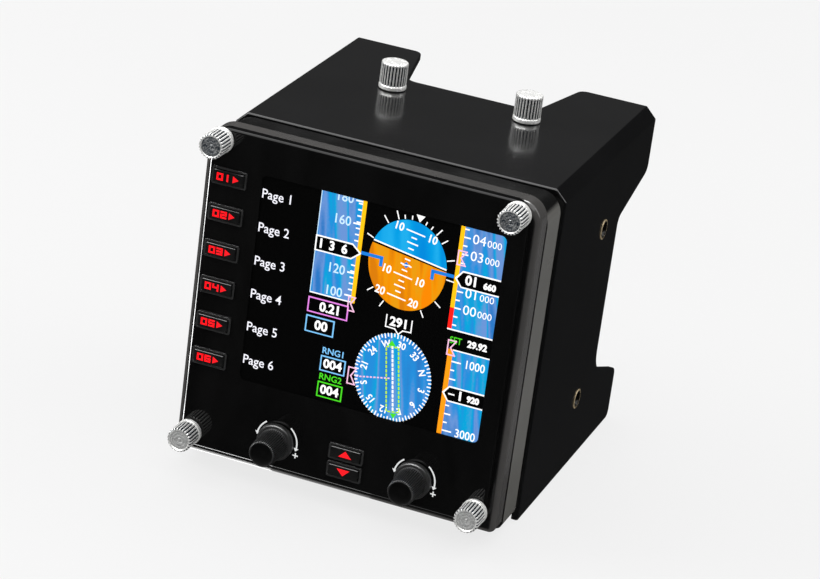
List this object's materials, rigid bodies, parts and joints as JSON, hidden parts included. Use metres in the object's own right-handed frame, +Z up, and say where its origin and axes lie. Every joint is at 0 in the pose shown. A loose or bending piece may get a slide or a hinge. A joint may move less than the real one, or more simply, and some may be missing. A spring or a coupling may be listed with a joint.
{
  "type": "flight instrument display panel",
  "caption": "Square desktop flight instrument panel with a colour display, side keys and two rotary knobs, held in a folded black metal bracket.",
  "frame": {"origin": "middle of the object's footprint, on the surface that the bracket stands on", "axes": "+X to the right of a person facing the display, +Y from the display to the back, +Z up"},
  "size_m": [0.0974, 0.1184, 0.1064],
  "materials": {
    "bracket_paint": "satin",
    "gloss_face": "mirror gloss",
    "display_glass": "polished",
    "shell_plastic": "satin",
    "seal_rubber": "matte",
    "cover_plastic": "fine grain",
    "plated_steel": "plated",
    "display_panel": "smooth",
    "display_image": "lit",
    "white_plastic": "matte",
    "key_plastic": "satin",
    "legend_red": "printed",
    "legend_white": "printed",
    "knob_plastic": "fine grain",
    "shaft_steel": "turned",
    "switch_body": "matte",
    "circuit_board": "lacquered",
    "chip_plastic": "matte",
    "cable_film": "smooth",
    "brass": "turned",
    "screw_metal": "turned and polished",
    "black_steel": "blackened"
  },
  "bodies": {
    "unit": {"mount_bracket": "bracket_paint", "face_plate": "gloss_face", "display_lens": "display_glass", "front_shell": "shell_plastic", "shell_seal": "seal_rubber", "rear_shell": "shell_plastic", "rear_cover": "cover_plastic", "lcd_frame": "plated_steel", "lcd_panel": "display_panel", "backlight_unit": "white_plastic", "selector_key_frames": "key_plastic", "step_key_frames": "key_plastic", "encoder_body_left": "plated_steel", "encoder_body_right": "plated_steel", "encoder_nuts": "plated_steel", "selector_switches": "switch_body", "step_switches": "switch_body", "selector_board": "circuit_board", "control_board": "circuit_board", "main_board": "circuit_board", "main_board_chips": "chip_plastic", "usb_socket": "plated_steel", "flat_cables": "cable_film", "corner_inserts": "brass", "top_nuts": "plated_steel", "side_inserts_left": "brass", "side_inserts_right": "brass", "shell_screws": "plated_steel", "bracket_screws": "black_steel", "board_screws": "plated_steel", "cover_screws": "black_steel"},
    "key_1": {"selector_key_1": "key_plastic"},
    "key_2": {"selector_key_2": "key_plastic"},
    "key_3": {"selector_key_3": "key_plastic"},
    "key_4": {"selector_key_4": "key_plastic"},
    "key_5": {"selector_key_5": "key_plastic"},
    "key_6": {"selector_key_6": "key_plastic"},
    "key_up": {"step_key_up": "key_plastic"},
    "key_down": {"step_key_down": "key_plastic"},
    "dial_left": {"knob_left": "knob_plastic", "encoder_shaft_left": "shaft_steel"},
    "dial_right": {"knob_right": "knob_plastic", "encoder_shaft_right": "shaft_steel"},
    "corner_thumb_top_left": {"corner_screw_top_left": "screw_metal"},
    "corner_thumb_top_right": {"corner_screw_top_right": "screw_metal"},
    "corner_thumb_low_left": {"corner_screw_low_left": "screw_metal"},
    "corner_thumb_low_right": {"corner_screw_low_right": "screw_metal"},
    "top_thumb_left": {"top_screw_left": "screw_metal"},
    "top_thumb_right": {"top_screw_right": "screw_metal"}
  },
  "joints": [
    {"name": "press_key_1", "type": "slide", "parent": "unit", "child": "key_1", "axis": [0, 1, 0], "range_m": [0, 0.0006], "stiffness_N_per_m": 1500},
    {"name": "press_key_2", "type": "slide", "parent": "unit", "child": "key_2", "axis": [0, 1, 0], "range_m": [0, 0.0006], "stiffness_N_per_m": 1500},
    {"name": "press_key_3", "type": "slide", "parent": "unit", "child": "key_3", "axis": [0, 1, 0], "range_m": [0, 0.0006], "stiffness_N_per_m": 1500},
    {"name": "press_key_4", "type": "slide", "parent": "unit", "child": "key_4", "axis": [0, 1, 0], "range_m": [0, 0.0006], "stiffness_N_per_m": 1500},
    {"name": "press_key_5", "type": "slide", "parent": "unit", "child": "key_5", "axis": [0, 1, 0], "range_m": [0, 0.0006], "stiffness_N_per_m": 1500},
    {"name": "press_key_6", "type": "slide", "parent": "unit", "child": "key_6", "axis": [0, 1, 0], "range_m": [0, 0.0006], "stiffness_N_per_m": 1500},
    {"name": "press_key_up", "type": "slide", "parent": "unit", "child": "key_up", "axis": [0, 1, 0], "range_m": [0, 0.0006], "stiffness_N_per_m": 1500},
    {"name": "press_key_down", "type": "slide", "parent": "unit", "child": "key_down", "axis": [0, 1, 0], "range_m": [0, 0.0006], "stiffness_N_per_m": 1500},
    {"name": "turn_dial_left", "type": "hinge", "parent": "unit", "child": "dial_left", "pos_m": [-0.0166, -0.0482, 0.0156], "axis": [0, -1, 0], "continuous": true},
    {"name": "turn_dial_right", "type": "hinge", "parent": "unit", "child": "dial_right", "pos_m": [0.0242, -0.0482, 0.0156], "axis": [0, -1, 0], "continuous": true},
    {"name": "turn_corner_thumb_top_left", "type": "hinge", "parent": "unit", "child": "corner_thumb_top_left", "pos_m": [-0.0425, -0.0482, 0.098], "axis": [0, -1, 0], "continuous": true},
    {"name": "turn_corner_thumb_top_right", "type": "hinge", "parent": "unit", "child": "corner_thumb_top_right", "pos_m": [0.0425, -0.0482, 0.098], "axis": [0, -1, 0], "continuous": true},
    {"name": "turn_corner_thumb_low_left", "type": "hinge", "parent": "unit", "child": "corner_thumb_low_left", "pos_m": [-0.0425, -0.0482, 0.0112], "axis": [0, -1, 0], "continuous": true},
    {"name": "turn_corner_thumb_low_right", "type": "hinge", "parent": "unit", "child": "corner_thumb_low_right", "pos_m": [0.0425, -0.0482, 0.0112], "axis": [0, -1, 0], "continuous": true},
    {"name": "turn_top_thumb_left", "type": "hinge", "parent": "unit", "child": "top_thumb_left", "pos_m": [-0.0204, 0.0223, 0.0984], "axis": [0, 0, 1], "continuous": true},
    {"name": "turn_top_thumb_right", "type": "hinge", "parent": "unit", "child": "top_thumb_right", "pos_m": [0.0204, 0.0223, 0.0984], "axis": [0, 0, 1], "continuous": true}
  ]
}
